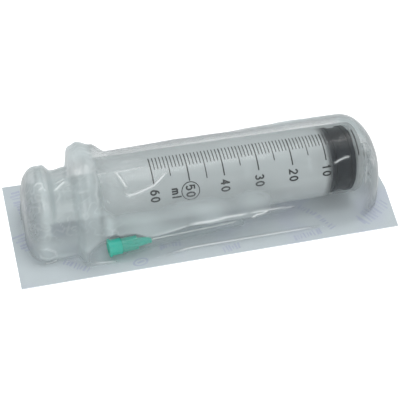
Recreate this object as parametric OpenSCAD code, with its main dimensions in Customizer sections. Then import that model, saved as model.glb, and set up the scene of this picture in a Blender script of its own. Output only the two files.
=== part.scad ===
// Large luer lock syringe with its needle, in the sealed peel pack it is sold in.
// Millimetres. X runs along the syringe to its nozzle and Z is up.
// The origin is the middle of the backing paper's underside.

/* [Barrel] */
// Diameter of the bore, which also spaces the graduations
bore_d = 29; // [28:0.1:30]
// Thickness of the barrel's wall
barrel_wall = 1.1; // [0.9:0.05:1.4]
// Tens of millilitres on the scale
scale_tens = 6; // [5:1:6]
// From the finger flange's front face to the highest mark
scale_setback = 22.3; // [20:0.1:30]
// From the zero mark to the outer shoulder
front_l = 2.5; // [2.3:0.1:4]
// Thickness of the front wall round the nozzle
front_wall = 1.4; // [1.2:0.1:1.6]
// Rounding of the outer shoulder
shoulder_r = 1.2; // [0.6:0.1:1.6]
// Thickness of the finger flange
flange_t = 2.4; // [1.8:0.1:3]
// From the barrel's wall to the tips of the finger flange
flange_wing = 5.2; // [4.5:0.1:8]
// From the barrel's wall to the two flats of the finger flange
flange_land = 1.3; // [0.9:0.1:2.5]
// Height of the bead that keeps the stopper in
bead_h = 0.35; // [0.2:0.05:0.5]
// Length of the bead
bead_l = 1.4; // [1:0.1:2]
// From the barrel's mouth to the bead
bead_setback = 3; // [2.6:0.1:5]

/* [Luer Lock] */
// Length of the nozzle from the shoulder
nozzle_l = 9.5; // [9.2:0.1:11]
// Radius of the nozzle at its tip
nozzle_tip_r = 1.97; // [1.95:0.01:2]
// Radius of the hole through the nozzle
lumen_r = 1.1; // [0.8:0.1:1.25]
// Length of the threaded collar
collar_l = 7.4; // [6.5:0.1:7.6]
// Inside radius of the collar
collar_bore_r = 4.05; // [4:0.05:4.3]
// Wall of the collar
collar_wall = 1.25; // [1:0.05:1.6]
// Length that one turn of the thread climbs
thread_lead = 5; // [5:0.1:5.5]
// Height of the thread
thread_h = 0.5; // [0.4:0.05:0.6]
// Width of the thread at its root
thread_root_w = 1; // [0.8:0.1:1.2]
// Width of the thread at its crest
thread_crest_w = 0.4; // [0.3:0.1:0.5]

/* [Scale] */
// Thickness of the ink
ink_t = 0.1; // [0.05:0.05:0.15]
// Width of a ten millilitre mark
mark_w = 0.5; // [0.4:0.05:0.6]
// Width of every other mark
fine_mark_w = 0.38; // [0.3:0.02:0.5]
// Height of the numerals
glyph_h = 4.1; // [3:0.1:4.5]
// Width of one numeral
glyph_w = 2.4; // [2.1:0.1:2.5]
// Distance from one numeral to the next
glyph_pitch = 3; // [2.8:0.1:3.2]
// Stroke of the numerals
glyph_stroke = 0.7; // [0.4:0.02:0.74]
// Radius of the ring round the nominal capacity
ring_r = 4; // [3.8:0.1:4.4]

/* [Plunger] */
// Length of the stopper
stopper_l = 11.6; // [11:0.1:14]
// Running clearance between stopper and bore
stopper_gap = 0.05; // [0.02:0.01:0.09]
// From the zero mark back to the stopper's front edge
stopper_back = 1.05; // [1:0.05:5]
// From the bore to the edges of the rod's ribs and discs
rod_gap = 2.3; // [1.5:0.1:3.5]
// Thickness of the rod's ribs
rod_rib_t = 1.6; // [1.2:0.1:2]
// Thickness of the rod's discs
rod_disc_t = 1.6; // [1.2:0.1:2]
// Length of rod that shows between flange and thumb press
rod_out = 19.1; // [15:0.1:25]
// How far the thumb press is wider than the bore, all round
thumb_lip = 0.5; // [0.3:0.1:1.6]
// Thickness of the thumb press
thumb_t = 2.3; // [2:0.1:3]

/* [Needle] */
// Outside diameter of the steel tube
tube_d = 0.82; // [0.8:0.01:0.83]
// Inside diameter of the steel tube
tube_bore_d = 0.51; // [0.48:0.01:0.55]
// Length of steel beyond the hub
tube_out = 38; // [25:1:38]
// Slope of the cutting bevel
bevel_angle = 17; // [12:1:22]
// Length of the hub
hub_l = 18.5; // [17:0.1:20]
// Radius of the lugs that turn into the lock
hub_lug_r = 3.9; // [3.8:0.01:3.92]
// Length of the hub's thick end
hub_grip_l = 5.4; // [5:0.1:6]
// Wall of the clear sheath
sheath_wall = 0.6; // [0.5:0.05:0.8]
// Clear length in the sheath past the needle's point
sheath_spare = 3.4; // [2:0.1:6]

/* [Pack] */
// Thickness of the backing paper
paper_t = 0.4; // [0.2:0.05:0.6]
// Thickness of the film
film_t = 0.3; // [0.2:0.05:0.4]
// Width of the sealed margin
seal_w = 5; // [4:0.5:10]
// Room between flange and seal on either side
side_room = 4.2; // [3.5:0.1:6]
// Room between thumb press and the film's end
rear_room = 8; // [7:0.5:12]
// Room between nozzle and the film's end
nose_room = 3; // [2.8:0.1:6]
// Gap between the syringe or needle and the paper
rest_gap = 0.25; // [0.1:0.05:0.3]

/* [Hidden] */
$fn = 96;

// One overrun serves every cut
cut = 0.5;
// Edge of a cube that holds one millilitre
ml_edge = 10;
// Marks from one ten to the next, one for each millilitre
marks = 10;

// Radii and lengths that follow from the sizes above
bore_r = bore_d / 2;
barrel_r = bore_r + barrel_wall;
flange_d = 2 * (barrel_r + flange_wing);
flange_flat = 2 * (barrel_r + flange_land);
rod_r = bore_r - rod_gap;
thumb_r = bore_r + thumb_lip;
ten_l = marks * ml_edge * ml_edge * ml_edge / (PI * bore_r * bore_r);
scale_l = scale_tens * ten_l;
syringe_l = thumb_t + rod_out + flange_t + scale_setback + scale_l + front_l + nozzle_l;
pack_l = 2 * seal_w + rear_room + syringe_l + nose_room;
pack_w = flange_d + 2 * (side_room + seal_w);

// Places along X, from the thumb press to the nozzle
thumb_x = -pack_l / 2 + seal_w + rear_room;
flange_x = thumb_x + thumb_t + rod_out;
flange_front_x = flange_x + flange_t;
top_mark_x = flange_front_x + scale_setback;
zero_x = top_mark_x + scale_l;
shoulder_x = zero_x + front_l;
tip_x = shoulder_x + nozzle_l;
stopper_front_x = zero_x - stopper_back;
stopper_rear_x = stopper_front_x - stopper_l;
bead_x = flange_x + bead_setback;

// Height of the syringe's axis, with the flange's flat just clear of the paper
axis_z = paper_t + rest_gap + flange_flat / 2;

// Growth of the nozzle's radius per length, half of the six percent taper
luer_taper = 0.03;
// The front wall's inner cone and the stopper's nose share one slope
nose_gap = 0.15;
cone_base_r_share = 0.97;
cone_x = zero_x + nose_gap;
cone_h = front_l - nose_gap - front_wall;
cone_r = bore_r * cone_base_r_share;

// Stopper profile, back from its front edge: [share of the length, 1 on a rib and 0 in a groove]
stopper_groove = 0.55;
stopper_slope = 0.25;
stopper_rib_shares = [[0, 1], [0.155, 1], [0.155, 0], [0.65, 0], [0.65, 1], [0.75, 1], [0.75, 0],
                      [0.8, 0], [0.8, 1], [1, 1]];

// The rod's head snaps into the stopper
head_r = 6.2;
head_t = 2.6;
neck_r = 4;
lip_t = 2;
head_gap = 0.08;
head_play = 0.12;
// Places of the rod's stiffening discs, as shares of the rod's length behind the stopper
rod_disc_shares = [0.07, 0.3, 0.55, 0.78];
// The thumb press has a shallow dish
dish_r_share = 0.8;
dish_depth = 0.5;

// Angles round the barrel, up from the side that faces -Y
mark_top_angle = 93;
mark_long_angle = 45.4;
mark_mid_angle = 57;
mark_short_angle = 70.3;
number_angle = 29.4;
// Half-way mark that is drawn as long as the tens
long_mark = 45;
mid_every = 5;
nominal_tens = 5;
unit_mark = 54;
ring_line = 0.38;
// Width of the unit's m against a numeral's, and the space before its l
m_share = 1.15;
unit_gap = 0.8;
// Least share of a stroke's width that a corner keeps
miter_share = 0.4;

// Needle axis: the hub's open end, and its small turns towards the barrel and up
needle_gap_x = 1.2;
needle_yaw = -2.2;
needle_rise = 1.3;
hub_x = flange_front_x + needle_gap_x;
hub_side_room = 1.7;
hub_y = -(pack_w / 2 - seal_w - hub_side_room - hub_lug_r);
hub_z = paper_t + rest_gap + hub_lug_r;
// Hub radii and places
hub_lug_l = 1;
hub_lug_flat = 5.8;
hub_grip_r = 3.45;
hub_body_r = 2.75;
hub_nose_r = 1.35;
hub_rib_r = 2.95;
hub_rib_t = 0.7;
hub_ribs = 6;
hub_rib_l_share = 0.55;
hub_rib_l = hub_rib_l_share * (hub_l - hub_grip_l);
socket_r = 2.14;
socket_l = 8.5;
channel_r = 0.8;
channel_l = 2;
glue_r = 0.85;
glue_l = 4;
glue_dome = 0.5;
tube_in_x = socket_l + channel_l;
tube_end = hub_l + tube_out;
bevel_run = tube_d / tan(bevel_angle);
// The sheath is straight over the hub's ribs and tapers beyond them
sheath_gap = 0.3;
sheath_x = hub_grip_l + sheath_gap;
sheath_grip_end = hub_grip_l + hub_rib_l + sheath_gap;
sheath_end = tube_end + sheath_spare;
sheath_fit = 0.05;
sheath_mouth_r = hub_rib_r + sheath_fit + sheath_wall;
sheath_tip_r = 2.1;
sheath_tip_round = 1.2;
sheath_rim_l = 1.2;
sheath_rim = 0.25;

// Film over each part of the syringe: room above it, room beside it, and lengths of its slopes
axis_h = axis_z - paper_t;
thumb_room = 1.05;
rod_rear_room = 0.55;
rod_front_room = 1.9;
bump_wall_room = 2.4;
bump_room = 4.35;
flange_room = 3.05;
barrel_rear_room = 1.15;
barrel_front_room = 3.75;
thumb_side_room = 4;
rod_side_room = 5.2;
hub_side_gap = 0.5;
gutter_gap = 2.5;
thumb_fall_l = 3.2;
bump_rear_l = 9.4;
bump_wall_l = 3.2;
bump_rise_l = 3.3;
flange_front_room = 0.6;
flange_fall_l = 6;
film_nose_l = 18.6;
// Power of the arch over each part, and of the two domed ends
arch_power = 2.2;
arch_power_bump = 2.8;
arch_power_flange = 2.55;
rear_power = 3;
nose_power = 2.3;
end_share = 0.3;
// Facets of the film: round its arch and round each end
arch_n = 22;
dome_n = 8;

// Where the film's cavity begins and ends, and its half widths
cav_rear_x = -pack_l / 2 + seal_w;
cav_front_x = pack_l / 2 - seal_w;
cav_half = pack_w / 2 - seal_w;
thumb_half = thumb_r + thumb_side_room;
rod_half = rod_r + rod_side_room;
bump_half = cav_half - hub_side_gap;
flange_half = cav_half - 2 * hub_side_gap;
barrel_half = cav_half - 3 * hub_side_gap;
gutter_half = cav_half - gutter_gap;
thumb_h = axis_h + thumb_r + thumb_room;
rod_rear_h = axis_h + rod_r + rod_rear_room;
rod_front_h = axis_h + rod_r + rod_front_room;
bump_wall_h = axis_h + flange_flat / 2 + bump_wall_room;
bump_h = axis_h + flange_flat / 2 + bump_room;
flange_h = axis_h + flange_flat / 2 + flange_room;
barrel_rear_h = axis_h + barrel_r + barrel_rear_room;
barrel_front_h = axis_h + barrel_r + barrel_front_room;
bump_x = flange_x - bump_rear_l;
flange_key_x = flange_front_x + flange_front_room;
barrel_rear_x = flange_key_x + flange_fall_l;
barrel_front_x = cav_front_x - film_nose_l;

function mix(a, b, t) = a + (b - a) * t;

// Key section over the barrel at x: the film widens towards +Y and rises towards the nose
function barrel_key(x, near_half, steps) =
    let (t = (x - barrel_rear_x) / (barrel_front_x - barrel_rear_x))
    [x, near_half, mix(barrel_half, bump_half, t), mix(barrel_rear_h, barrel_front_h, t),
     arch_power, steps];

// Key sections of the film: [x, half width towards -Y, half width towards +Y, height, arch power,
// steps to the next section]
film_keys = [
    [thumb_x + thumb_t / 2, thumb_half, thumb_half, thumb_h, arch_power, 4],
    [thumb_x + thumb_t + thumb_fall_l, thumb_half, rod_half, rod_rear_h, arch_power, 2],
    [bump_x, thumb_half, rod_half, rod_front_h, arch_power, 4],
    [bump_x + bump_wall_l, bump_half, bump_half, bump_wall_h, arch_power_bump, 2],
    [bump_x + bump_wall_l + bump_rise_l, bump_half, bump_half, bump_h, arch_power_bump, 4],
    [flange_key_x, bump_half, flange_half, flange_h, arch_power_flange, 4],
    barrel_key(barrel_rear_x, cav_half, 2),
    barrel_key(hub_x + hub_l, cav_half, 3),
    barrel_key(hub_x + 2 * hub_l, gutter_half, 3),
    barrel_key(barrel_front_x, gutter_half, 1)
];

function ease(t) = t * t * (3 - 2 * t);
function rise(t, power) = pow(1 - pow(1 - t, power), 1 / power);

// A section between keys a and b: x runs evenly and the shape eases over
function between(a, b, t) = [mix(a[0], b[0], t), for (k = [1:4]) mix(a[k], b[k], ease(t))];

// A domed end, from the cavity's end at end_x up to key k
function dome(k, end_x, power, t) =
    [mix(end_x, k[0], t), k[1] * rise(t, power), k[2] * rise(t, power), k[3] * rise(t, power), k[4]];
function foot(k, x) = [x, k[1] * end_share, k[2] * end_share, 0, k[4]];

film_first = film_keys[0];
film_last = film_keys[len(film_keys) - 1];
film_sections = concat(
    [foot(film_first, -pack_l / 2), foot(film_first, cav_rear_x)],
    [for (i = [1:dome_n - 1]) dome(film_first, cav_rear_x, rear_power, 1 - cos(90 * i / dome_n))],
    [for (k = [0:len(film_keys) - 2], i = [0:film_keys[k][5] - 1])
        between(film_keys[k], film_keys[k + 1], i / film_keys[k][5])],
    [for (i = [dome_n:-1:1]) dome(film_last, cav_front_x, nose_power, 1 - cos(90 * i / dome_n))],
    [foot(film_last, cav_front_x), foot(film_last, pack_l / 2)]
);

// Point j of section s; skin is 0 inside and the film's thickness outside
function arch_point(s, j, skin) =
    let (a = 180 * j / arch_n, c = cos(a), n = sin(a), half = (c > 0 ? s[1] : s[2]) + skin)
    [-sign(c) * half * pow(abs(c), 2 / s[4]), skin + s[3] * pow(max(n, 0), 2 / s[4])];
function section_points(s, skin) = concat(
    [[-pack_w / 2, skin]],
    [for (j = [0:arch_n]) arch_point(s, j, skin)],
    [[pack_w / 2, skin]]
);
// The outer skin of a steep end wall stands off along X
function lean(i) =
    i == 0 || i == len(film_sections) - 1 ? 0
    : let (a = film_sections[i - 1], b = film_sections[i + 1], slope = (b[3] - a[3]) / (b[0] - a[0]))
      -film_t * slope / sqrt(1 + slope * slope);
function skin_points(skin) =
    [for (i = [0:len(film_sections) - 1]) for (p = section_points(film_sections[i], skin))
        [film_sections[i][0] + (skin > 0 ? lean(i) : 0), p[0], paper_t + p[1]]];

// Turns local Z into X along the syringe's axis, so local X points down
module on_axis() {
    translate([0, 0, axis_z]) rotate([0, 90, 0]) children();
}

// A solid of revolution along the syringe's axis, from [radius, x] points
module lathe(points) {
    on_axis() rotate_extrude() polygon(points);
}

// A disc on the syringe's axis, from x forwards
module disc(r, x, l) {
    on_axis() translate([0, 0, x]) cylinder(r = r, h = l);
}

// Brings pieces drawn along local Z onto the needle's axis
module on_needle() {
    translate([hub_x, hub_y, hub_z]) rotate([0, 90 - needle_rise, -needle_yaw]) children();
}

module paper_backing() {
    color([0.86, 0.88, 0.92])
        translate([-pack_l / 2, -pack_w / 2, 0]) cube([pack_l, pack_w, paper_t]);
}

module blister_film() {
    rows = len(film_sections);
    cols = arch_n + 3;
    lower = rows * cols;
    points = concat(skin_points(film_t), skin_points(0));
    top = [for (i = [0:rows - 2], j = [0:cols - 2]) let (p = i * cols + j)
        each [[p, p + cols, p + cols + 1], [p, p + cols + 1, p + 1]]];
    under = [for (f = top) [f[2] + lower, f[1] + lower, f[0] + lower]];
    sides = [for (i = [0:rows - 2]) let (p = i * cols, q = p + cols - 1)
        each [[p, p + lower, p + cols + lower], [p, p + cols + lower, p + cols],
              [q, q + cols, q + cols + lower], [q, q + cols + lower, q + lower]]];
    ends = [for (j = [0:cols - 2]) let (p = j, q = (rows - 1) * cols + j)
        each [[p, p + 1, p + 1 + lower], [p, p + 1 + lower, p + lower],
              [q, q + lower, q + 1 + lower], [q, q + 1 + lower, q + 1]]];
    color([0.8, 0.86, 0.86, 0.3]) polyhedron(points, concat(top, under, sides, ends));
}

// Helical ridge on the collar's inside, sunk into its wall by half its own height
thread_n = 20;
thread_turns = (collar_l - 2 * thread_root_w) / thread_lead;
module thread(start) {
    steps = ceil(thread_turns * thread_n);
    root_r = collar_bore_r + thread_h / 2;
    crest_r = collar_bore_r - thread_h;
    shape = [[root_r, -thread_root_w / 2], [root_r, thread_root_w / 2],
             [crest_r, thread_crest_w / 2], [crest_r, -thread_crest_w / 2]];
    points = [for (i = [0:steps]) let (a = start + 360 * thread_turns * i / steps)
        for (p = shape)
            [p[0] * cos(a), p[0] * sin(a), thread_root_w + p[1] + thread_lead * thread_turns * i / steps]];
    walls = [for (i = [0:steps - 1], k = [0:3]) let (p = 4 * i + k, q = 4 * i + (k + 1) % 4)
        each [[p, q, q + 4], [p, q + 4, p + 4]]];
    polyhedron(points, concat(walls, [[3, 2, 1, 0], [for (k = [0:3]) 4 * steps + k]]));
}

module barrel() {
    round_n = 5;
    nozzle_base_r = nozzle_tip_r + luer_taper * nozzle_l;
    shell = concat(
        [[bore_r, flange_x], [bore_r, bead_x], [bore_r - bead_h, bead_x + bead_l / 2],
         [bore_r, bead_x + bead_l], [bore_r, cone_x], [cone_r, cone_x], [lumen_r, cone_x + cone_h],
         [lumen_r, tip_x], [nozzle_tip_r, tip_x], [nozzle_base_r, shoulder_x]],
        [for (i = [0:round_n]) let (a = 90 - 90 * i / round_n)
            [barrel_r - shoulder_r + shoulder_r * cos(a), shoulder_x - shoulder_r + shoulder_r * sin(a)]],
        [[barrel_r, flange_x]]
    );
    color([0.78, 0.84, 0.85, 0.55]) {
        lathe(shell);
        // Finger flange with its two flats
        on_axis() translate([0, 0, flange_x]) difference() {
            intersection() {
                cylinder(d = flange_d, h = flange_t);
                translate([-flange_flat / 2, -flange_d / 2, 0]) cube([flange_flat, flange_d, flange_t]);
            }
            translate([0, 0, -cut]) cylinder(r = bore_r + barrel_wall / 2, h = flange_t + 2 * cut);
        }
        // Collar round the nozzle with its double thread
        on_axis() translate([0, 0, shoulder_x]) {
            difference() {
                translate([0, 0, -front_wall / 2])
                    cylinder(r = collar_bore_r + collar_wall, h = collar_l + front_wall / 2);
                cylinder(r = collar_bore_r, h = collar_l + cut);
                translate([0, 0, -cut - front_wall]) cylinder(r = lumen_r, h = collar_l);
            }
            for (start = [0, 180]) thread(start);
        }
    }
}

// An arc of ink on the barrel, from its top mark angle down to the given one
module ink_mark(x, low_angle, w) {
    on_axis() translate([0, 0, x - w / 2]) rotate([0, 0, 270 - mark_top_angle])
        rotate_extrude(angle = mark_top_angle - low_angle) translate([barrel_r, 0]) square([ink_t, w]);
}

module scale_ticks() {
    color([0.16, 0.18, 0.2])
        for (i = [0:scale_tens * marks]) {
            ten = i % marks == 0;
            low = ten || i == long_mark ? mark_long_angle
                : i % mid_every == 0 ? mark_mid_angle : mark_short_angle;
            ink_mark(zero_x - i * ten_l / marks, low, ten ? mark_w : fine_mark_w);
        }
}

// Centre lines of the numerals in shares of their width and height, with x first; a straight end
// runs past its line by half a stroke
over = 0.08;
function bow(cx, cy, rx, ry, from, to, n) =
    [for (i = [0:n]) let (a = mix(from, to, i / n)) [cx + rx * cos(a), cy + ry * sin(a)]];
zero_shares = [bow(0.5, 0.5, 0.5, 0.5, 0, 345, 23)];
one_shares = [[[0.2, 0.7], [0.58, 0.92], [0.58, -over]]];
two_shares = [concat(bow(0.5, 0.72, 0.48, 0.28, 170, -35, 10), [[0, 0], [1 + over, 0]])];
three_shares = [bow(0.48, 0.76, 0.44, 0.24, 160, -95, 10), bow(0.5, 0.27, 0.5, 0.27, 95, -155, 12)];
four_shares = [[[0.72, -over], [0.72, 1 + over]], [[0.72, 0.96], [0, 0.3], [1 + over, 0.3]]];
five_shares = [concat([[0.95, 1], [0.12, 1], [0.04, 0.52]], bow(0.5, 0.33, 0.5, 0.33, 125, -150, 13))];
six_shares = [bow(0.5, 0.32, 0.5, 0.32, 0, 345, 18), bow(0.68, 0.38, 0.62, 0.6, 75, 170, 8)];
digit_shares = [zero_shares, one_shares, two_shares, three_shares, four_shares, five_shares, six_shares];
// The m and the l of the unit
m_shares = [[[0, -over], [0, 0.62]],
            concat([[0, 0.4]], bow(0.25, 0.4, 0.25, 0.22, 150, 0, 5), [[0.5, -over]]),
            concat([[0.5, 0.4]], bow(0.75, 0.4, 0.25, 0.22, 150, 0, 5), [[1, -over]])];
l_shares = [[[0, -over], [0, 1 + over]]];

// One pen stroke of even width along a centre line, closed where its ends lie near each other
function unit(v) = v / norm(v);
function turned(v) = [-v[1], v[0]];
function side_of(line, i, closed) =
    let (n = len(line), last = n - 1,
         before = closed ? line[(i + last) % n] : line[max(i - 1, 0)],
         after = closed ? line[(i + 1) % n] : line[min(i + 1, last)],
         a = i == 0 && !closed ? unit(after - line[i]) : unit(line[i] - before),
         b = i == last && !closed ? a : unit(after - line[i]),
         m = unit(turned(a + b)))
    m / max(m * turned(a), miter_share);
function edge(line, w, closed) = [for (i = [0:len(line) - 1]) line[i] + w * side_of(line, i, closed)];
module stroke(line, w) {
    closed = norm(line[0] - line[len(line) - 1]) < w;
    left = edge(line, w / 2, closed);
    right = edge(line, -w / 2, closed);
    if (closed) {
        difference() {
            polygon(right);
            polygon(left);
        }
    } else {
        polygon(concat(left, [for (i = [len(right) - 1:-1:0]) right[i]]));
    }
}
module glyph(shares, w) {
    inset = glyph_stroke / 2;
    for (line = shares)
        stroke([for (p = line) [inset + p[0] * (w - glyph_stroke) - w / 2,
                                inset + p[1] * (glyph_h - glyph_stroke) - glyph_h / 2]], glyph_stroke);
}
// Wraps a flat drawing round the barrel: its top points to the nozzle and it reads downwards
module wrap(x, angle) {
    on_axis() translate([0, 0, x]) rotate([0, 0, 270 - angle]) intersection() {
        translate([bore_r, 0, 0]) rotate([90, 0, 90]) linear_extrude(2 * barrel_wall) children();
        translate([0, 0, -2 * ring_r]) difference() {
            cylinder(r = barrel_r + ink_t, h = 4 * ring_r);
            translate([0, 0, -cut]) cylinder(r = barrel_r, h = 4 * ring_r + 2 * cut);
        }
    }
}
function ink_turn(l) = l / barrel_r * 180 / PI;

module scale_numerals() {
    color([0.16, 0.18, 0.2]) {
        for (ten = [1:scale_tens]) {
            x = zero_x - ten * ten_l;
            wrap(x, number_angle + ink_turn(glyph_pitch / 2)) glyph(digit_shares[ten], glyph_w);
            wrap(x, number_angle - ink_turn(glyph_pitch / 2)) glyph(digit_shares[0], glyph_w);
        }
        unit_x = zero_x - unit_mark / marks * ten_l;
        m_w = glyph_w * m_share;
        wrap(unit_x, number_angle + ink_turn((unit_gap + glyph_stroke) / 2)) glyph(m_shares, m_w);
        wrap(unit_x, number_angle - ink_turn((unit_gap + m_w) / 2)) glyph(l_shares, glyph_stroke);
        wrap(zero_x - nominal_tens * ten_l, number_angle) difference() {
            circle(r = ring_r);
            circle(r = ring_r - ring_line);
        }
    }
}

module stopper() {
    rib_r = bore_r - stopper_gap;
    outline = [for (p = stopper_rib_shares)
        [rib_r - (1 - p[1]) * stopper_groove, stopper_front_x - p[0] * stopper_l]];
    hole_r = neck_r + head_gap;
    room_r = head_r + head_gap;
    room_x = stopper_rear_x + lip_t;
    room_l = head_t + 2 * head_play;
    profile = concat(
        [[0, stopper_front_x + cone_h], [lumen_r, stopper_front_x + cone_h],
         [cone_r - stopper_slope, stopper_front_x]],
        outline,
        [[hole_r, stopper_rear_x], [hole_r, room_x], [room_r, room_x], [room_r, room_x + room_l],
         [0, room_x + room_l]]
    );
    color([0.24, 0.28, 0.32]) lathe(profile);
}

module plunger_rod() {
    rod_front_x = stopper_rear_x - head_play;
    rod_rear_x = thumb_x + thumb_t;
    rod_l = rod_front_x - rod_rear_x;
    head_x = stopper_rear_x + lip_t + head_play;
    color([0.82, 0.87, 0.87, 0.7]) {
        // Four ribs in a cross
        for (turn = [0, 90])
            on_axis() rotate([0, 0, turn]) translate([-rod_r, -rod_rib_t / 2, rod_rear_x - thumb_t / 2])
                cube([2 * rod_r, rod_rib_t, rod_l + thumb_t / 2]);
        // The disc that pushes the stopper, and the stiffening discs
        disc(rod_r, rod_front_x - rod_disc_t, rod_disc_t);
        for (share = rod_disc_shares) disc(rod_r, rod_front_x - share * rod_l - rod_disc_t / 2, rod_disc_t);
        // Neck and head inside the stopper
        disc(neck_r, rod_front_x - rod_disc_t / 2, head_x - rod_front_x + rod_disc_t);
        disc(head_r, head_x, head_t);
        // Thumb press with its dish
        on_axis() translate([0, 0, thumb_x]) difference() {
            cylinder(r = thumb_r, h = thumb_t);
            translate([0, 0, -cut]) cylinder(r = thumb_r * dish_r_share, h = dish_depth + cut);
        }
    }
}

module needle_hub() {
    outline = [[socket_r, 0], [hub_grip_r, 0], [hub_grip_r, hub_grip_l], [hub_body_r, hub_grip_l],
               [hub_nose_r, hub_l], [glue_r, hub_l], [glue_r, hub_l - glue_l],
               [tube_d / 2, hub_l - glue_l], [tube_d / 2, tube_in_x], [channel_r, tube_in_x],
               [channel_r, socket_l], [socket_r - luer_taper * socket_l, socket_l]];
    color([0.2, 0.66, 0.58]) on_needle() {
        rotate_extrude() polygon(outline);
        // Two lugs that turn into the lock
        difference() {
            intersection() {
                cylinder(r = hub_lug_r, h = hub_lug_l);
                translate([-hub_lug_flat / 2, -hub_lug_r, 0])
                    cube([hub_lug_flat, 2 * hub_lug_r, hub_lug_l]);
            }
            translate([0, 0, -cut]) cylinder(r = (socket_r + hub_grip_r) / 2, h = hub_lug_l + 2 * cut);
        }
        // Long ribs that the sheath grips
        for (i = [0:hub_ribs - 1]) rotate([0, 0, 360 * i / hub_ribs])
            translate([hub_nose_r, -hub_rib_t / 2, hub_grip_l - cut])
                cube([hub_rib_r - hub_nose_r, hub_rib_t, hub_rib_l + cut]);
    }
}

module needle_tube() {
    color([0.75, 0.77, 0.79]) on_needle() difference() {
        translate([0, 0, tube_in_x]) cylinder(d = tube_d, h = tube_end - tube_in_x);
        translate([0, 0, tube_in_x - cut]) cylinder(d = tube_bore_d, h = tube_end - tube_in_x + 2 * cut);
        // Bevel
        translate([-tube_d / 2, 0, tube_end]) rotate([0, -bevel_angle, 0])
            translate([0, -tube_d, -2 * bevel_run]) cube([2 * tube_d, 2 * tube_d, 3 * bevel_run]);
    }
}

module needle_glue() {
    color([0.85, 0.87, 0.83, 0.8]) on_needle() rotate_extrude()
        polygon([[tube_d / 2, hub_l - glue_l], [glue_r, hub_l - glue_l], [glue_r, hub_l],
                 [tube_d / 2, hub_l + glue_dome]]);
}

module needle_sheath() {
    inner_mouth_r = sheath_mouth_r - sheath_wall;
    inner_tip_r = sheath_tip_r - sheath_wall;
    outline = [[inner_mouth_r, sheath_x], [sheath_mouth_r + sheath_rim, sheath_x],
               [sheath_mouth_r + sheath_rim, sheath_x + sheath_rim_l],
               [sheath_mouth_r, sheath_x + sheath_rim_l], [sheath_mouth_r, sheath_grip_end],
               [sheath_tip_r, sheath_end - sheath_tip_round],
               [sheath_tip_r - sheath_tip_round / 2, sheath_end], [0, sheath_end],
               [0, sheath_end - sheath_wall],
               [inner_tip_r - sheath_tip_round / 2, sheath_end - sheath_wall],
               [inner_tip_r, sheath_end - sheath_tip_round - sheath_wall],
               [inner_mouth_r, sheath_grip_end]];
    color([0.8, 0.88, 0.88, 0.35]) on_needle() rotate_extrude() polygon(outline);
}

paper_backing();
blister_film();
barrel();
scale_ticks();
scale_numerals();
stopper();
plunger_rod();
needle_hub();
needle_tube();
needle_glue();
needle_sheath();
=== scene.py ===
# Large luer lock syringe with its needle in a peel pack: film, print, materials, light and camera.
import math
import random

import bmesh
import bpy
import numpy as np
from mathutils import Matrix, Vector, noise


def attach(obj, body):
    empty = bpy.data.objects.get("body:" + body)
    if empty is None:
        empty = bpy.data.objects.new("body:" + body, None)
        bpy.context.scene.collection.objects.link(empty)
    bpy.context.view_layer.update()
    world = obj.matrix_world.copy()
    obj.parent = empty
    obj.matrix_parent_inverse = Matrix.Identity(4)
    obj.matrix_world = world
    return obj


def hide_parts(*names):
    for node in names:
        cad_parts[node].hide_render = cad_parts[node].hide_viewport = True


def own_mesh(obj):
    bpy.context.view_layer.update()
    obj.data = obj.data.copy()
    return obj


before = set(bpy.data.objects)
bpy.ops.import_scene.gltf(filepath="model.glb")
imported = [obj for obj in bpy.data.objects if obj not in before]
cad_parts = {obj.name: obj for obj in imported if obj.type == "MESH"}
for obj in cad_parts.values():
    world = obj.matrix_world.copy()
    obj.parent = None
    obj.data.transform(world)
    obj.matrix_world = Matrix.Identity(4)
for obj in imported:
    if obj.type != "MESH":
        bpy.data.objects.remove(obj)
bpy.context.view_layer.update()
MM = 0.001
random.seed(7)

# Camera, solved from the photograph: angles in degrees, distance in metres, then places in its pixels
AZIMUTH, ELEVATION, ROLL = -18.72, 45.41, 4.65
DISTANCE = 0.4543
FOCAL_PX, FRAME_PX = 1022.2, 400
ORIGIN_PX = (203.49, 206.57)
SENSOR_MM = 36

# The floor's size in metres, and the strengths of the world and of the floor's own white
FLOOR_SIZE = 6
AMBIENT, FLOOR_LIFT = 0.5, 0.3

# Share of light that plastic mirrors when it is seen head on, and how strongly it bends light
HEAD_ON = 0.04
PLASTIC_IOR = 1.49

# Sizes in millimetres that follow part.scad
PAPER_T, FILM_T = 0.4, 0.3
PACK_L, PACK_W, SEAL = 169.942, 60.0, 5.0
AXIS_Z = 17.55
THUMB_X = -PACK_L / 2 + 13
FLANGE_X = THUMB_X + 21.4
FLANGE_FRONT = FLANGE_X + 2.4
HUB_X = FLANGE_FRONT + 1.2
HUB_L = 18.5
CAV_REAR, CAV_FRONT = -PACK_L / 2 + SEAL, PACK_L / 2 - SEAL
THUMB_R, THUMB_T = 15, 2.3
BORE_R, BARREL_R = 14.5, 15.6
ZERO_X = FLANGE_FRONT + 22.3 + 90.84
NEEDLE_START = Vector((HUB_X, -19.4, 4.55))
NEEDLE_TURN, NEEDLE_TILT = math.radians(2.2), math.radians(88.7)
NEEDLE_WAY = Matrix.Rotation(NEEDLE_TURN, 3, "Z") @ Matrix.Rotation(NEEDLE_TILT, 3, "Y") @ Vector((0, 0, 1))


# Camera, floor and light
def look_matrix(place, forward, roll):
    side = forward.cross(Vector((0, 0, 1))).normalized()
    up = side.cross(forward)
    right = math.cos(roll) * side + math.sin(roll) * up
    up = right.cross(forward)
    turn = Matrix((right, up, -forward)).transposed().to_4x4()
    return Matrix.Translation(place) @ turn


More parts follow.
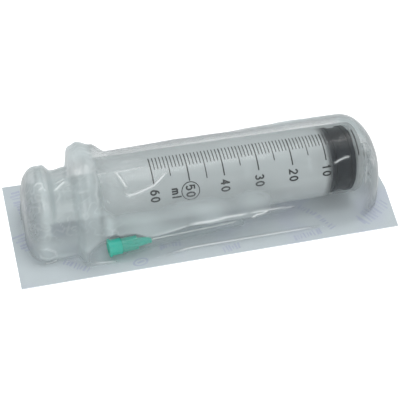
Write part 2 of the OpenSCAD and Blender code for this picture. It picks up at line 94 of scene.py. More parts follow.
def add_camera():
    az, el = math.radians(AZIMUTH), math.radians(ELEVATION)
    place = DISTANCE * Vector((math.sin(az) * math.cos(el), -math.cos(az) * math.cos(el), math.sin(el)))
    data = bpy.data.cameras.new("camera")
    data.sensor_width = SENSOR_MM
    data.lens = FOCAL_PX * SENSOR_MM / FRAME_PX
    data.shift_x = (FRAME_PX / 2 - ORIGIN_PX[0]) / FRAME_PX
    data.shift_y = (ORIGIN_PX[1] - FRAME_PX / 2) / FRAME_PX
    data.clip_start = 0.01
    cam = bpy.data.objects.new("camera", data)
    bpy.context.collection.objects.link(cam)
    cam.matrix_world = look_matrix(place, -place.normalized(), math.radians(ROLL))
    bpy.context.scene.camera = cam


def add_area(name, direction, distance, size, power):
    """A lamp that faces the origin from the given direction; metres and watts."""
    data = bpy.data.lights.new(name, "AREA")
    data.shape = "RECTANGLE"
    data.size, data.size_y = size
    data.energy = power
    lamp = bpy.data.objects.new(name, data)
    bpy.context.collection.objects.link(lamp)
    place = Vector(direction).normalized() * distance
    lamp.matrix_world = look_matrix(place, -place.normalized(), 0)


class Nodes:
    """A material or world under construction."""

    def __init__(self, owner, kind="Material"):
        owner.use_nodes = True
        self.tree = owner.node_tree
        self.tree.nodes.clear()
        self.out = self.tree.nodes.new("ShaderNodeOutput" + kind)

    def add(self, kind, settings=None, **inputs):
        node = self.tree.nodes.new("ShaderNode" + kind)
        for key, value in (settings or {}).items():
            setattr(node, key, value)
        for key, value in inputs.items():
            self.put(node, key.replace("_", " "), value)
        return node

    def put(self, node, key, value):
        socket = node.inputs[int(key)] if key.isdigit() else node.inputs[key]
        if isinstance(value, bpy.types.NodeSocket):
            self.tree.links.new(value, socket)
        else:
            if isinstance(value, tuple) and len(value) == 3 and socket.type == "RGBA":
                value = (*value, 1)
            socket.default_value = value

    def math(self, op, a, b=0.0, clamp=False):
        node = self.add("Math", {"operation": op, "use_clamp": clamp})
        self.put(node, "0", a)
        self.put(node, "1", b)
        return node.outputs[0]

    def mix(self, factor, a, b):
        node = self.add("Mix", {"data_type": "RGBA"})
        for socket, value in zip((node.inputs[0], node.inputs[6], node.inputs[7]), (factor, a, b)):
            if isinstance(value, bpy.types.NodeSocket):
                self.tree.links.new(value, socket)
            else:
                socket.default_value = value if isinstance(value, float) else (*value, 1)
        return node.outputs[2]

    def ramp(self, factor, *stops):
        node = self.add("ValToRGB", Fac=factor)
        ramp = node.color_ramp
        while len(ramp.elements) < len(stops):
            ramp.elements.new(0.5)
        for element, (place, value) in zip(ramp.elements, stops):
            element.position = place
            element.color = (*value, 1) if isinstance(value, tuple) else (value, value, value, 1)
        return node.outputs[0]

    def noise(self, scale, detail=3.0, roughness=0.5, vector=None):
        node = self.add("TexNoise", Scale=float(scale), Detail=detail, Roughness=roughness,
                        Vector=vector or self.coords())
        return node.outputs[0]

    def coords(self):
        return self.add("TexCoord").outputs["Object"]

    def stretched(self, scale):
        return self.add("Mapping", Vector=self.coords(), Scale=scale).outputs[0]

    def bump(self, height, strength, distance):
        return self.add("Bump", Height=height, Strength=strength, Distance=distance).outputs[0]

    def seen(self):
        """1 for the rays that show the background: camera, mirrored and transmitted ones."""
        path = self.add("LightPath").outputs
        indirect = self.math("MAXIMUM", path["Is Glossy Ray"], path["Is Transmission Ray"])
        return self.math("MAXIMUM", path["Is Camera Ray"], indirect)

    def edge(self):
        """0 where the surface faces the viewer, 1 where it turns away."""
        return self.add("LayerWeight", Blend=0.5).outputs["Facing"]

    def schlick(self, shine, normal):
        """Share of light that the surface mirrors, from either side."""
        facing = self.add("LayerWeight", Blend=0.5, Normal=normal).outputs["Facing"]
        slant = self.math("MULTIPLY", self.math("POWER", facing, 5.0), 1 - HEAD_ON)
        return self.math("MULTIPLY", self.math("ADD", slant, HEAD_ON), shine)

    def thin(self, color, roughness, normal, ior=1.45, through=0.5):
        """A thin milky wall: part of its light comes through from behind."""
        body = self.add("BsdfPrincipled", Base_Color=color, Roughness=roughness, IOR=ior, Normal=normal)
        return self.blend(through, body, self.add("BsdfTranslucent", Color=color, Normal=normal))

    def blend(self, share, first, second):
        both = self.add("MixShader", Fac=share)
        self.put(both, "1", first.outputs[0])
        self.put(both, "2", second.outputs[0])
        return both

    def finish(self, shader):
        self.tree.links.new(shader.outputs[0], self.out.inputs[0])


def new_material(name):
    made = bpy.data.materials.new(name)
    return made, Nodes(made)


def add_stage():
    world = bpy.data.worlds.new("world")
    bpy.context.scene.world = world
    n = Nodes(world, "World")
    light = n.add("Background", Color=(0.95, 0.98, 1.0), Strength=AMBIENT)
    white = n.add("Background", Color=(1.0, 1.0, 1.0), Strength=1.0)
    n.finish(n.blend(n.seen(), light, white))

    bpy.ops.mesh.primitive_plane_add(size=FLOOR_SIZE)
    floor = bpy.context.object
    floor.name = "floor"
    made, n = new_material("floor")
    body = n.add("BsdfDiffuse", Color=(0.93, 0.93, 0.93))
    lift = n.add("Emission", Color=(1.0, 1.0, 1.0), Strength=n.math("MULTIPLY", n.seen(), FLOOR_LIFT))
    both = n.add("AddShader")
    n.put(both, "0", body.outputs[0])
    n.put(both, "1", lift.outputs[0])
    n.finish(both)
    floor.data.materials.append(made)


bpy.context.scene.view_settings.view_transform = "Standard"
add_camera()
add_stage()
add_area("overhead", (0.12, 0.1, 0.95), 1.2, (0.8, 0.6), 8.8)
add_area("front_fill", (-0.25, -0.85, 0.55), 1.6, (1.2, 0.8), 12.5)


# The film's form: it is shown in two pieces that meet at SPLIT_X
SPLIT_X = FLANGE_X - 10.2
AXIS_H = AXIS_Z - PAPER_T
BUMP_X = FLANGE_X - 9.4
BARREL_REAR, BARREL_FRONT = FLANGE_FRONT + 6.6, CAV_FRONT - 18.6
CAV_HALF, BUMP_HALF, BARREL_HALF, GUTTER_HALF = 25.0, 24.5, 23.5, 22.5

# How round the cavity's ends are; past them its points lie flat on the seal, over a share of its width
REAR_POWER, FRONT_POWER, SEAL_SHARE = 3, 2.3, 0.3

# The sealed margin: its height over the paper before and after the ripples, and its points on each side
SKIN_RISE, FILM_FLOOR, MARGIN_STEPS = 0.08, PAPER_T + 0.06, 6


def barrel_key(x, near_half):
    t = (x - BARREL_REAR) / (BARREL_FRONT - BARREL_REAR)
    return [x, near_half, BARREL_HALF + t, AXIS_H + 16.75 + 2.6 * t, 2.2]


# x, half width towards -Y, half width towards +Y, height, arch power
FILM_KEYS = np.array([
    [THUMB_X + 1.15, 19, 19, AXIS_H + 16.05, 2.2],
    [THUMB_X + 5.5, 19, 17.4, AXIS_H + 12.75, 2.2],
    [BUMP_X, 19, 17.4, AXIS_H + 14.1, 2.2],
    [BUMP_X + 3.2, BUMP_HALF, BUMP_HALF, AXIS_H + 19.3, 2.8],
    [BUMP_X + 6.5, BUMP_HALF, BUMP_HALF, AXIS_H + 21.25, 2.8],
    [FLANGE_FRONT + 0.6, BUMP_HALF, 24, AXIS_H + 19.95, 2.55],
    barrel_key(BARREL_REAR, CAV_HALF),
    barrel_key(HUB_X + HUB_L, CAV_HALF),
    barrel_key(HUB_X + 2 * HUB_L, GUTTER_HALF),
    barrel_key(BARREL_FRONT, GUTTER_HALF),
])


def film_section(x):
    """Half widths, height and arch power of the film at x."""
    for key, end, power in ((FILM_KEYS[0], CAV_REAR, REAR_POWER), (FILM_KEYS[-1], CAV_FRONT, FRONT_POWER)):
        t = (x - end) / (key[0] - end)
        if t <= 1:
            r = (1 - (1 - max(t, 0)) ** power) ** (1 / power)
            wide = r if t > 0 else SEAL_SHARE
            return np.array([key[1] * wide, key[2] * wide, key[3] * r, key[4]])
    i = min(int(np.searchsorted(FILM_KEYS[:, 0], x, side="right")) - 1, len(FILM_KEYS) - 2)
    a, b = FILM_KEYS[i], FILM_KEYS[i + 1]
    t = (x - a[0]) / (b[0] - a[0])
    return (a + (b - a) * t * t * (3 - 2 * t))[1:]


# The pack's front end passes through this place, at this slope
END_X, END_Y, END_SLOPE = 81.4, -29.3, 0.152


def end_x(y):
    """The pack's front end is cut at a slight angle, as in the photograph."""
    return min(PACK_L / 2, END_X + END_SLOPE * (y - END_Y))


def film_base(xs, angles):
    """Grid of points: one row per x, from the -Y edge over the arch to the +Y edge."""
    rows = []
    margin = 1 - np.linspace(1, 0, MARGIN_STEPS + 1)[:-1] ** 2
    sealed = np.full(MARGIN_STEPS, PAPER_T + SKIN_RISE)
    edge = PACK_W / 2
    for x in xs:
        left, right, high, power = film_section(x)
        c, s = np.cos(angles), np.maximum(np.sin(angles), 0)
        half = np.where(c > 0, left, right) + FILM_T * (high > 0)
        y = -np.sign(c) * half * np.abs(c) ** (2 / power)
        z = PAPER_T + SKIN_RISE + (high + (FILM_T - SKIN_RISE) * (high > 0)) * s ** (2 / power)
        ys = np.concatenate([-edge + (y[0] + edge) * margin, y, (edge - (edge - y[-1]) * margin)[::-1]])
        zs = np.concatenate([sealed, z, sealed])
        rows.append(np.stack([np.full(len(ys), x), ys, zs], -1))
    return np.array(rows)


def normals_of(grid):
    n = np.cross(np.gradient(grid, axis=0), np.gradient(grid, axis=1))
    n /= np.linalg.norm(n, axis=-1, keepdims=True) + 1e-9
    return n


def ripple(grid, scale, seed):
    """Smooth noise at every point of the grid; scale gives the wave length along each axis in mm."""
    flat = grid.reshape(-1, 3) / np.array(scale) + seed
    return np.array([noise.noise(Vector(p)) for p in flat]).reshape(grid.shape[:2])


def along(grid, line):
    """Distance of every grid point from a polyline, and how far along it the nearest place is (0 to 1)."""
    best = np.full(grid.shape[:2], 1e9)
    where = np.zeros(grid.shape[:2])
    line = np.array(line, float)
    steps = np.linalg.norm(np.diff(line, axis=0), axis=1)
    run = np.concatenate([[0], np.cumsum(steps)]) / steps.sum()
    for a, b, r0, r1 in zip(line, line[1:], run, run[1:]):
        ab = b - a
        t = np.clip(((grid - a) @ ab) / (ab @ ab), 0, 1)
        d = np.linalg.norm(grid - (a + t[..., None] * ab), axis=-1)
        near = d < best
        best = np.where(near, d, best)
        where = np.where(near, r0 + (r1 - r0) * t, where)
    return best, where


def on_film(x, angle):
    """A place on the film's outer side; the angle goes up from the edge that faces -Y."""
    left, right, high, power = film_section(x)
    c, up = math.cos(math.radians(angle)), max(math.sin(math.radians(angle)), 0)
    half = (left if c > 0 else right) + FILM_T
    return (x, -math.copysign(half * abs(c) ** (2 / power), c), PAPER_T + (high + FILM_T) * up ** (2 / power))


# Creases: (x in mm, angle up the film) along each, height in mm (negative is a groove), width in mm,
# and how white the crease is painted: a painted highlight, partly the film's own whitening at creases
CREASES = [
    ([(-40.8, 80.5), (-39.2, 72), (-38, 65), (-37.2, 62.5)], 0.4, 0.75, 1.0),
    ([(-39.2, 60.5), (-37.2, 56), (-34.4, 56.5), (-30.4, 58.5), (-26.4, 61), (-23.6, 65), (-20, 71)],
     0.4, 0.75, 1.0),
    ([(-49.6, 76), (-45.6, 77.5), (-40.8, 80.5), (-34, 80), (-28, 82)], 0.3, 0.7, 0.6),
    ([(-66, 74), (-64, 77.5), (-61.6, 81)], 0.4, 0.6, 1.0),
    ([(-65.2, 83), (-63.2, 83.5), (-61.6, 84.5)], 0.3, 0.5, 0.7),
    ([(-74.4, 76.5), (-72.8, 79.5), (-70.8, 78), (-70.8, 73), (-72.4, 71.5)], 0.35, 0.5, 0.5),
    ([(-72.8, 71), (-71.2, 73.5), (-69.6, 69.5)], 0.35, 0.5, 0.5),
    ([(-49.6, 79), (-49.6, 68), (-50.8, 57), (-50.4, 47)], 0.25, 0.7, 0.3),
    ([(-46.8, 50.5), (-45.6, 48.5)], 0.25, 0.6, 0.5),
    ([(52, 51.5), (54.8, 54), (57.6, 55.5), (59.6, 55.5)], 0.4, 0.65, 1.0),
    ([(-29.6, 19.5), (-21.6, 19.5), (-16, 19), (-12.8, 19)], 0.3, 0.5, 0.3),
    ([(-12.8, 19.5), (-3.2, 20), (2.8, 21), (10, 21), (13.2, 21)], 0.4, 0.65, 0.95),
    ([(14.4, 17), (16.8, 19), (19.6, 19.5), (22, 21)], 0.35, 0.55, 0.9),
    ([(13.2, 21), (17.2, 21.5), (22, 21.5), (27.2, 21), (34.4, 20)], 0.35, 0.6, 0.75),
    ([(-22.8, 0.5), (-12.4, 0), (19.2, 0), (46, 0)], 0.3, 1.0, 1.0),
    ([(-75.2, 13.5), (-72.4, 13.5), (-69.2, 10.5), (-68.4, 6.5), (-71.6, 4.5), (-74.8, 6.5), (-75.6, 10.5)],
     0.3, 0.6, 0.3),
    ([(-74, 1), (-71.2, 1), (-68.4, 2.5)], 0.3, 0.6, 0.7),
    ([(-56.8, 0.5), (-52.8, 0.8), (-48.4, 1.2), (-43.6, 1.6)], 0.3, 0.8, 0.9),
    ([(66.8, 73.5), (67, 55.5), (66.8, 40), (66, 27)], 0.2, 0.9, 0.5),
    ([(-57.2, 102.5), (-49.6, 95.5), (-43.2, 97), (-28.4, 98)], 0.25, 0.8, 0.25),
    ([(-55.6, 95.5), (-48, 91), (-35.6, 90.5), (-25.2, 89.5)], 0.25, 0.8, 0.25),
    ([(-65.2, 74), (-64.4, 66), (-66.4, 59.5)], 0.25, 0.6, 0.2),
    ([(-60.8, 72), (-57.2, 63), (-53.2, 61)], 0.25, 0.6, 0.25),
    ([(-48.4, 66.5), (-43.2, 70), (-41.2, 64)], 0.25, 0.6, 0.3),
    ([(67.2, 83.5), (71.2, 62), (74.4, 36.5), (74, 14)], 0.2, 0.8, 0.25),
]


# Wave lengths of the film's ripples along each axis
BROAD_WAVE, FINE_WAVE, LONG_WAVE = (11, 9, 9), (4.2, 4.2, 4.2), (30, 5, 7)
CRINKLE_WAVE, PATCH_WAVE, MIST_WAVE = (3.6, 2.8, 2.8), (9, 9, 9), (14, 10, 10)

# How far the film is drawn in and may stand out, how high its crinkles are, and how much painted highlight
# their ridges get
FILM_INSET, FILM_OUTSET = 0.35, 0.25
CRINKLE_RISE, CRINKLE_HIGHLIGHT = 0.1, 0.16
# Share of a crease's width that gets the painted white highlight
HIGHLIGHT_SHARE = 0.75

# Milky share of the clear film, its rear end, the band along the barrel and the part below it
CLEAR_MIST, REAR_MIST, BAND_MIST, BELOW_MIST = 0.01, 0.5, 0.55, 0.08

# Room round the thumb press, its play towards the barrel, and the fall of the film in front of it
THUMB_ROOM, THUMB_PLAY, THUMB_FALL = 0.65, 1.3, 1.2


def ease(x, start, end):
    """0 before start, 1 past end, smooth between them; start may lie past end."""
    t = np.clip((x - start) / (end - start), 0, 1)
    return t * t * (3 - 2 * t)


def mist_of(grid):
    """How milky the film is: thin and hazy round both ends, clear over the barrel; places are in mm."""
    x, y, z = grid[..., 0], grid[..., 1], grid[..., 2]
    near_side = y < 0
    # Low down the haze of the rear end starts farther back
    lag = 8 * ease(z, 16, 8)
    rear = ease(x, -43 - lag, -52 - lag) * (0.5 + 0.5 * ease(x, -79, -72))
    nose = ease(x, 65, 71) * (0.26 + 0.1 * ease(z, 28, 22))
    behind = ease(y, 2, 12) * ease(z, 15, 25) * ease(x, -44, -36) * (0.28 + 0.25 * ease(x, 0, 45))
    # Along the barrel's lower side the film is milky down to its long crease, or to the needle's hub
    foot = 11.4 + 2.9 * ease(x, -29, -38) + 1.1 * ease(x, -42.5, -44.5)
    band = near_side * ease(x, 40, 10) * ease(x, -50, -46) * ease(z, foot, foot + 1.1) * ease(z, 31, 19)
    below = near_side * ease(x, 60, 20) * ease(z, 14, 9)
    mist = CLEAR_MIST + REAR_MIST * rear + nose + behind + BAND_MIST * band + BELOW_MIST * below
    return mist * ease(z, PAPER_T, 4) * (1 + 0.35 * ripple(grid, MIST_WAVE, 21.0))


def crinkle_of(grid):
    """Fine ridges, 0 to 1, where the film was stretched over the thumb press and the flange."""
    ridge = np.clip(1 - 6 * np.abs(ripple(grid, CRINKLE_WAVE, 13.0)), 0, 1)
    return ridge * np.clip((-37 - grid[..., 0]) / 8, 0, 1) * ease(grid[..., 2], 8, 18)


def clear_thumb_press(points, x):
    """Keeps the film off the thumb press, also where the plunger is pushed home."""
    across, up = points[..., 1], points[..., 2] - AXIS_Z
    spread = np.hypot(across, up)
    press_end = THUMB_X + THUMB_T + THUMB_PLAY
    reach = THUMB_R + THUMB_ROOM - THUMB_FALL * np.maximum(x - press_end, 0)
    grow = np.where((x > THUMB_X - 0.5) & (spread < reach), reach / np.maximum(spread, 1), 1)
    points[..., 1], points[..., 2] = across * grow, AXIS_Z + up * grow


def lay_out(grid):
    """Moves the grid's points by ripples and creases, and returns the painted highlight: how white each point
    is painted along creases and crinkle ridges.
    """
    n = normals_of(grid)
    if n[len(n) // 2, grid.shape[1] // 2, 2] < 0:
        n = -n
    x, y, z = grid[..., 0], grid[..., 1], grid[..., 2]
    high = np.clip((z - PAPER_T) / 6, 0, 1)
    rear = np.clip((-44 - x) / 10, 0, 1)
    low = np.clip((20 - z) / 12, 0, 1)
    # Ripples of three kinds, with heights in mm, calmer over the front end
    move = ripple(grid, BROAD_WAVE, 3.1) * (0.3 + 0.15 * rear + 0.2 * low)
    move += ripple(grid, FINE_WAVE, 9.7) * (0.07 + 0.1 * rear)
    move += ripple(grid, LONG_WAVE, 5.3) * 0.22 * (1 - rear)
    calm = 1 - 0.65 * ease(x, 58, 67)
    crinkle = crinkle_of(grid)
    move = move * calm - FILM_INSET + CRINKLE_RISE * crinkle
    # Painted highlight: the crinkle ridges are painted white in patches, partly the film's own whitening
    white = CRINKLE_HIGHLIGHT * crinkle * np.clip(ripple(grid, PATCH_WAVE, 31.0) * 2 + 0.6, 0, 1)
    for line, height, width, highlight_share in CREASES:
        d, t = along(grid, [on_film(*place) for place in line])
        fade = np.clip(np.minimum(t, 1 - t) * 6 + 0.25, 0, 1)
        move += height * fade * np.exp(-((d / width) ** 2))
        # Painted highlight along the crease, partly the film's own whitening
        white = np.maximum(white, highlight_share * fade * np.exp(-((d / (HIGHLIGHT_SHARE * width)) ** 2)))
    move = np.minimum(move, FILM_OUTSET) * high
    out = grid + n * move[..., None]
    clear_thumb_press(out, x)
    # The sealed margin follows the paper's angled end
    ends = np.array([[end_x(v) for v in row] for row in y])
    margin = (z < PAPER_T + 0.2) & (x > CAV_FRONT)
    squeeze = np.clip((x - CAV_FRONT) / (PACK_L / 2 - CAV_FRONT), 0, 1)
    out[..., 0] = np.where(margin, CAV_FRONT + squeeze * (ends - CAV_FRONT), out[..., 0])
    out[..., 2] = np.maximum(out[..., 2], FILM_FLOOR)
    return out, white


def rise_of(grid):
    """0 where the film meets its seal, 1 from a few millimetres up."""
    return ease(grid[..., 2], PAPER_T, 7)


def grid_object(name, grid, values):
    rows, cols = grid.shape[:2]
    mesh = bpy.data.meshes.new(name)
    faces = [(i * cols + j, (i + 1) * cols + j, (i + 1) * cols + j + 1, i * cols + j + 1)
             for i in range(rows - 1) for j in range(cols - 1)]
    mesh.from_pydata((grid.reshape(-1, 3) * MM).tolist(), [], faces)
    mesh.update()
    for key, value in values.items():
        mesh.attributes.new(key, "FLOAT", "POINT").data.foreach_set("value", value.ravel().astype(np.float32))
    mesh.polygons.foreach_set("use_smooth", [True] * len(mesh.polygons))
    obj = bpy.data.objects.new(name, mesh)
    bpy.context.collection.objects.link(obj)
    return obj


# The film's haze where it turns away, its shine, how much of the painted crease highlight shows, and its
# colours, the last being the colour of that painted highlight
FILM_EDGE, FILM_SHINE, FOLD_HIGHLIGHT = 0.9, 0.2, 0.75
FILM_TINT, MIST_TINT, FOLD_HIGHLIGHT_TINT = (0.38, 0.405, 0.41), (0.64, 0.70, 0.708), (0.92, 0.94, 0.94)


def film_material():
    made, n = new_material("film")
    # This attribute is a painted highlight: white painted along creases and crinkle ridges
    fold_highlight = n.add("Attribute", {"attribute_name": "fold_highlight"}).outputs["Fac"]
    cloud = n.noise(55, 3.0, 0.55)
    rise = n.add("Attribute", {"attribute_name": "rise"}).outputs["Fac"]
    haze = n.math("MULTIPLY", n.math("MULTIPLY", n.math("POWER", n.edge(), 3.0), FILM_EDGE), rise)
    haze = n.math("ADD", haze, n.math("MULTIPLY", cloud, 0.02))
    mist = n.add("Attribute", {"attribute_name": "mist"}).outputs["Fac"]
    haze = n.math("ADD", haze, mist)
    # The painted crease highlight raises the milky share here and, below, turns the colour pale
    haze = n.math("ADD", haze, n.math("MULTIPLY", fold_highlight, FOLD_HIGHLIGHT), clamp=True)
    skin = n.bump(n.noise(90, 3.0, 0.5, n.stretched((0.35, 1.0, 1.0))), 0.16, 0.0012)
    # Thick mist is paler than the film's own tint
    milky = n.math("SUBTRACT", n.math("MULTIPLY", mist, 3.0), 0.9, clamp=True)
    color = n.mix(milky, FILM_TINT, MIST_TINT)
    color = n.mix(fold_highlight, color, FOLD_HIGHLIGHT_TINT)
    clear = n.add("BsdfTransparent", Color=(0.85, 0.862, 0.862))
    gloss = n.add("BsdfGlossy", Color=(1.0, 1.0, 1.0), Roughness=0.13, Normal=skin)
    veil = n.blend(haze, clear, n.thin(color, 0.3, skin))
    n.finish(n.blend(n.schlick(FILM_SHINE, skin), veil, gloss))
    return made


# The film's grid is denser at its foot (degrees) and at its front end (mm); the step between is in mm
FOOT_ANGLE, END_L, GRID_STEP = 8, 6, 0.5
FOOT_STEPS, ARCH_STEPS, REAR_STEPS, END_STEPS = 9, 150, 46, 24
REAR_GROWTH, END_GROWTH = 1.5, 1.6


def add_film():
    mat = film_material()
    foot = np.linspace(0, FOOT_ANGLE, FOOT_STEPS)
    arch = np.linspace(FOOT_ANGLE, 180 - FOOT_ANGLE, ARCH_STEPS)
    angles = np.radians(np.concatenate([foot[:-1], arch[:-1], 180 - foot[::-1]]))
    rear_seal = [-PACK_L / 2, -PACK_L / 2 + SEAL / 2]
    front_seal = [CAV_FRONT + SEAL / 2, PACK_L / 2]
    rear_run = CAV_REAR + (SPLIT_X - CAV_REAR) * np.linspace(0, 1, REAR_STEPS) ** REAR_GROWTH
    rear = np.concatenate([rear_seal, rear_run])
    front_run = CAV_FRONT - END_L * np.linspace(1, 0, END_STEPS) ** END_GROWTH
    front = np.concatenate([np.arange(SPLIT_X, CAV_FRONT - END_L, GRID_STEP), front_run, front_seal])
    grid = film_base(np.concatenate([rear, front[1:]]), angles)
    grid, white = lay_out(grid)
    values = {"fold_highlight": white, "mist": mist_of(grid), "rise": rise_of(grid)}
    cut = len(rear)
    for name, part in (("film_rear", slice(0, cut)), ("film_main", slice(cut - 1, None))):
        obj = grid_object(name, grid[part], {key: value[part] for key, value in values.items()})
        obj.data.materials.append(mat)
        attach(obj, "film")
        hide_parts("blister_film")
        if name == "film_rear":
            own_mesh(obj)


# The paper and its print
def paper_material():
    made, n = new_material("paper")
    fibre = n.noise(900, 5.0, 0.65, n.stretched((1.0, 0.5, 1.0)))
    cloud = n.noise(60, 3.0)
    color = n.mix(cloud, (0.55, 0.595, 0.625), (0.59, 0.635, 0.655))
    stain = n.ramp(n.noise(38, 2.0), (0.52, 0.0), (0.66, 0.45))
    color = n.mix(stain, color, (0.51, 0.53, 0.65))
    color = n.mix(n.math("MULTIPLY", fibre, 0.2), color, (0.67, 0.70, 0.73))
    body = n.add("BsdfPrincipled", Base_Color=color, Roughness=0.75, Normal=n.bump(fibre, 0.25, 0.0002))
    n.finish(body)
    return made


def ink_material(name, light, dark, scale, roughness):
    made, n = new_material(name)
    wear = n.noise(scale, 4.0, 0.6)
    color = n.mix(n.ramp(wear, (0.35, 0.0), (0.7, 1.0)), dark, light)
    body = n.add("BsdfPrincipled", Base_Color=color, Roughness=roughness,
                 Normal=n.bump(n.noise(2500, 2.0), 0.1, 0.00005))
    n.finish(body)
    return made


SHEET_ROWS, SHEET_COLS = 60, 30


def add_paper():
    """The flat paper sheet with its angled end."""
    xs = np.linspace(0, 1, SHEET_ROWS)
    ys = np.linspace(-PACK_W / 2, PACK_W / 2, SHEET_COLS)
    points, faces = [], []
    for top in (1, 0):
        for t in xs:
            for y in ys:
                x = -PACK_L / 2 + t * (end_x(y) + PACK_L / 2)
                points.append((x * MM, y * MM, (PAPER_T if top else 0) * MM))
    cols, half = len(ys), len(xs) * len(ys)
    for i in range(len(xs) - 1):
        for j in range(cols - 1):
            a = i * cols + j
            faces.append((a, a + cols, a + cols + 1, a + 1))
            b = a + half
            faces.append((b, b + 1, b + cols + 1, b + cols))
    rim = ([i * cols for i in range(len(xs))] + [(len(xs) - 1) * cols + j for j in range(1, cols)]
           + [i * cols + cols - 1 for i in range(len(xs) - 2, -1, -1)] + list(range(cols - 2, 0, -1)))
    for a, b in zip(rim, rim[1:] + rim[:1]):
        faces.append((a, a + half, b + half, b))
    mesh = bpy.data.meshes.new("paper_sheet")
    mesh.from_pydata(points, [], faces)
    mesh.update()
    obj = bpy.data.objects.new("paper_sheet", mesh)
    bpy.context.collection.objects.link(obj)
    mesh.materials.append(paper_material())
    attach(obj, "pack")
    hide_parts("paper_backing")


# The print's height over the paper, the turn of its rows, the steps between ovals and to the hatching
INK_T = 0.02
ROW_TURN, ROW_STEP, HATCH_STEP, PRINT_END = -25, 30, 12.5, 80

# Sizes of an oval and of a stroke, the half lengths they need, and the oval's ring
OVAL, STROKE = (9.5, 5.2), (0.8, 3.4)
OVAL_ROOM, HATCH_ROOM = 5, 6
RING_SIDES, RING_INNER = 32, 0.36

# Hatching beside the syringe, where the photograph shows marks: place, count, step, turn and size of a stroke
MARKS = [
    ((-78.5, 19), 8, 1.8, -80, (1.3, 6)),
    ((-80, -5), 6, 1.8, -70, (1.3, 6)),
    ((-61, -22.6), 8, 1.6, -36, (1, 3)),
    ((-20.4, -19.2), 7, 1.4, 4, (1, 3.6)),
    ((5.4, -26.6), 6, 1.4, 10, (0.9, 3)),
    ((40, -26.4), 9, 1.5, 8, (1, 4)),
    ((44, -12), 5, 1.5, -50, (0.9, 3)),
    ((49.6, -20), 8, 1.5, -62, (0.9, 3.4)),
    ((73, -19.6), 10, 1.9, 32, (1.2, 7)),
]


def add_print():
    """Generic ovals and hatching in a pale ink, as flat shapes just above the paper."""
    points, faces = [], []
    height = (PAPER_T + INK_T) * MM

    def shape(outline, place, turn, size):
        c, s = math.cos(math.radians(turn)), math.sin(math.radians(turn))
        start = len(points)
        for u, v in outline:
            u, v = u * size[0], v * size[1]
            points.append(((place[0] + u * c - v * s) * MM, (place[1] + u * s + v * c) * MM, height))
        faces.append(tuple(range(start, len(points))))

    bar = [(-0.5, -0.5), (0.5, -0.5), (0.5, 0.5), (-0.5, 0.5)]
    slant = [(-0.5, -0.5), (0.3, -0.5), (0.5, 0.5), (-0.3, 0.5)]

    def hatch(place, count, step, turn, size, grow=0.0):
        for i in range(count):
            off = (i - (count - 1) / 2) * step
            c, s = math.cos(math.radians(turn)), math.sin(math.radians(turn))
            off += random.uniform(-0.25, 0.25) * step
            tall = (size[1] + grow * i) * random.uniform(0.55, 1.15)
            shape(slant, (place[0] + off * c, place[1] + off * s), turn + random.uniform(-7, 7),
                  (size[0] * random.uniform(0.6, 1.3), tall))

    def oval(place, turn, size):
        """An oval ring with a bar in it."""
        ring, inner = [], []
        for a in np.linspace(0, 2 * math.pi, RING_SIDES + 1)[:-1]:
            ring.append((0.5 * math.cos(a), 0.5 * math.sin(a)))
            inner.append((RING_INNER * math.cos(a), RING_INNER * math.sin(a)))
        for k in range(RING_SIDES):
            m = (k + 1) % RING_SIDES
            shape([ring[k], ring[m], inner[m], inner[k]], place, turn, size)
        shape(bar, place, turn, (size[0] * 0.45, size[1] * 0.22))

    def fits(x, half):
        return -PACK_L / 2 + 1 < x - half and x + half < PRINT_END

    # Rows of ovals and hatching across the sheet, at a slant
    for y, start in ((-1.1, -66.5), (23.4, -52.0)):
        for col in range(5):
            x = start + col * ROW_STEP
            if fits(x, OVAL_ROOM):
                oval((x, y), ROW_TURN, OVAL)
            if fits(x + HATCH_STEP, HATCH_ROOM):
                hatch((x + HATCH_STEP, y - 0.6), 6, 1.6, ROW_TURN, STROKE, -0.2)
    for mark in MARKS:
        hatch(*mark)
    oval((-34.6, -26.2), 12, (7.0, 4.2))
    mesh = bpy.data.meshes.new("paper_print")
    mesh.from_pydata(points, [], faces)
    mesh.update()
    obj = bpy.data.objects.new("paper_print", mesh)
    bpy.context.collection.objects.link(obj)
    mesh.materials.append(ink_material("print", (0.53, 0.56, 0.65), (0.46, 0.49, 0.60), 250, 0.8))
    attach(obj, "pack")


# Materials of the CAD nodes: the scale of the clear ones' clouds, and the rays that look behind a wall
CLOUD_SCALE = 60
WALL_SAMPLES = 16


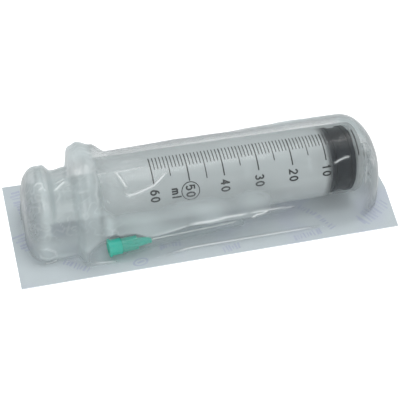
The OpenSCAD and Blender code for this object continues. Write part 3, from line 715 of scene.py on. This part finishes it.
def clear_plastic(name, tint, body_color, haze, edge_haze, roughness, shine, frost=None):
    """Transparent plastic with a milky share that grows towards its edges.

    frost is (share, distance, radius): inside that radius round the syringe's axis the wall blurs what
    lies farther behind it than the distance, as translucent plastic does, and shows what touches it.
    """
    made, n = new_material(name)
    cloud = n.noise(CLOUD_SCALE, 3.0, 0.5)
    flow = n.bump(n.noise(CLOUD_SCALE * 1.5, 2.0, 0.5, n.stretched((0.3, 1.0, 1.0))), 0.08, 0.0008)
    share = n.math("ADD", n.math("MULTIPLY", n.math("POWER", n.edge(), 2.0), edge_haze),
                   n.math("MULTIPLY", n.math("ADD", cloud, 0.5), haze), clamp=True)
    if frost:
        blur, reach, limit = frost
        settings = {"samples": WALL_SAMPLES, "inside": True}
        behind = n.add("AmbientOcclusion", settings, Distance=reach * MM).outputs["AO"]
        split = n.add("SeparateXYZ", Vector=n.coords()).outputs
        up = n.math("SUBTRACT", split[2], AXIS_Z * MM)
        square = n.math("ADD", n.math("MULTIPLY", split[1], split[1]), n.math("MULTIPLY", up, up))
        inside = n.math("LESS_THAN", n.math("SQRT", square), limit * MM)
        behind = n.math("MULTIPLY", n.math("POWER", behind, 3.0), inside)
        share = n.math("ADD", share, n.math("MULTIPLY", behind, blur), clamp=True)
    tone = n.mix(cloud, body_color, tuple(min(1, c * 1.1) for c in body_color))
    clear = n.add("BsdfTransparent", Color=tint)
    veil = n.blend(share, clear, n.thin(tone, roughness, flow, PLASTIC_IOR))
    gloss = n.add("BsdfGlossy", Color=(1.0, 1.0, 1.0), Roughness=max(0.08, roughness * 0.6), Normal=flow)
    n.finish(n.blend(n.schlick(shine, flow), veil, gloss))
    return made


def milky_plastic(name, color, glow, roughness, scale, through):
    """Opaque moulded plastic that lets some light through its thin walls."""
    made, n = new_material(name)
    cloud = n.noise(scale, 4.0, 0.55)
    flow = n.noise(scale * 4, 3.0, 0.5, n.stretched((0.25, 1.0, 1.0)))
    tone = n.mix(cloud, color, glow)
    n.finish(n.thin(tone, roughness, n.bump(flow, 0.12, 0.0003), PLASTIC_IOR, through))
    return made


def rubber_material():
    made, n = new_material("stopper")
    grain = n.noise(1400, 5.0, 0.6)
    cloud = n.noise(120, 3.0)
    color = n.mix(cloud, (0.010, 0.014, 0.020), (0.020, 0.027, 0.036))
    body = n.add("BsdfPrincipled", Base_Color=color, Roughness=0.42, Normal=n.bump(grain, 0.3, 0.0001))
    body.inputs["Specular IOR Level"].default_value = 0.2
    n.finish(body)
    return made


def steel_material():
    made, n = new_material("steel")
    drawn = n.noise(700, 4.0, 0.6, n.stretched((0.03, 1.0, 1.0)))
    color = n.mix(drawn, (0.50, 0.52, 0.53), (0.68, 0.70, 0.71))
    body = n.add("BsdfPrincipled", Base_Color=color, Metallic=1.0, Roughness=0.28,
                 Normal=n.bump(drawn, 0.25, 0.00004))
    n.finish(body)
    return made


def one_wall(node, body, inner):
    """Stands in for a clear CAD node: its surface without the inner faces. Light then crosses one wall."""
    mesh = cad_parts[node].data.copy()
    form = bmesh.new()
    form.from_mesh(mesh)
    drop = [f for f in form.faces if inner(f.calc_center_median() / MM, f.normal)]
    bmesh.ops.delete(form, geom=drop, context="FACES")
    form.to_mesh(mesh)
    form.free()
    obj = bpy.data.objects.new(node + "_wall", mesh)
    bpy.context.collection.objects.link(obj)
    mesh.materials.clear()
    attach(obj, body)
    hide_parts(node)
    return obj


def bore_face(place, normal):
    """True for the faces of the barrel's bore."""
    return math.hypot(place.y, place.z - AXIS_Z) < BORE_R + 0.2 and FLANGE_X < place.x < ZERO_X


def sheath_inside(place, normal):
    """True for the faces that look at the needle, and for the inside of the sheath's closed end."""
    off = place - NEEDLE_START
    run = off.dot(NEEDLE_WAY)
    side = off - run * NEEDLE_WAY
    return normal.dot(side.normalized()) < -0.3 or (run > 50 and normal.dot(NEEDLE_WAY) < -0.5)


def dress(node, material):
    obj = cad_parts[node]
    obj.data.materials.clear()
    obj.data.materials.append(material)


add_film()
add_paper()
add_print()
one_wall("barrel", "syringe", bore_face).data.materials.append(
    clear_plastic("barrel", (0.94, 0.95, 0.95), (0.71, 0.74, 0.745), 0.01, 0.25, 0.5, 0.4,
                  frost=(0.8, 3.3, BARREL_R + 0.1)))
scale_ink = ink_material("scale_ink", (0.02, 0.022, 0.024), (0.008, 0.009, 0.01), 900, 0.45)
dress("scale_ticks", scale_ink)
dress("scale_numerals", scale_ink)
dress("stopper", rubber_material())
dress("plunger_rod", milky_plastic("rod", (0.80, 0.83, 0.832), (0.84, 0.865, 0.867), 0.35, 80, 0.5))
dress("needle_hub", milky_plastic("hub", (0.03, 0.70, 0.55), (0.08, 0.80, 0.66), 0.3, 200, 0.4))
dress("needle_tube", steel_material())
dress("needle_glue", milky_plastic("glue", (0.66, 0.70, 0.66), (0.74, 0.78, 0.74), 0.15, 300, 0.5))
one_wall("needle_sheath", "sheath", sheath_inside).data.materials.append(
    clear_plastic("sheath", (0.95, 0.965, 0.965), (0.66, 0.70, 0.70), 0.17, 0.35, 0.2, 0.3))

bpy.context.view_layer.update()
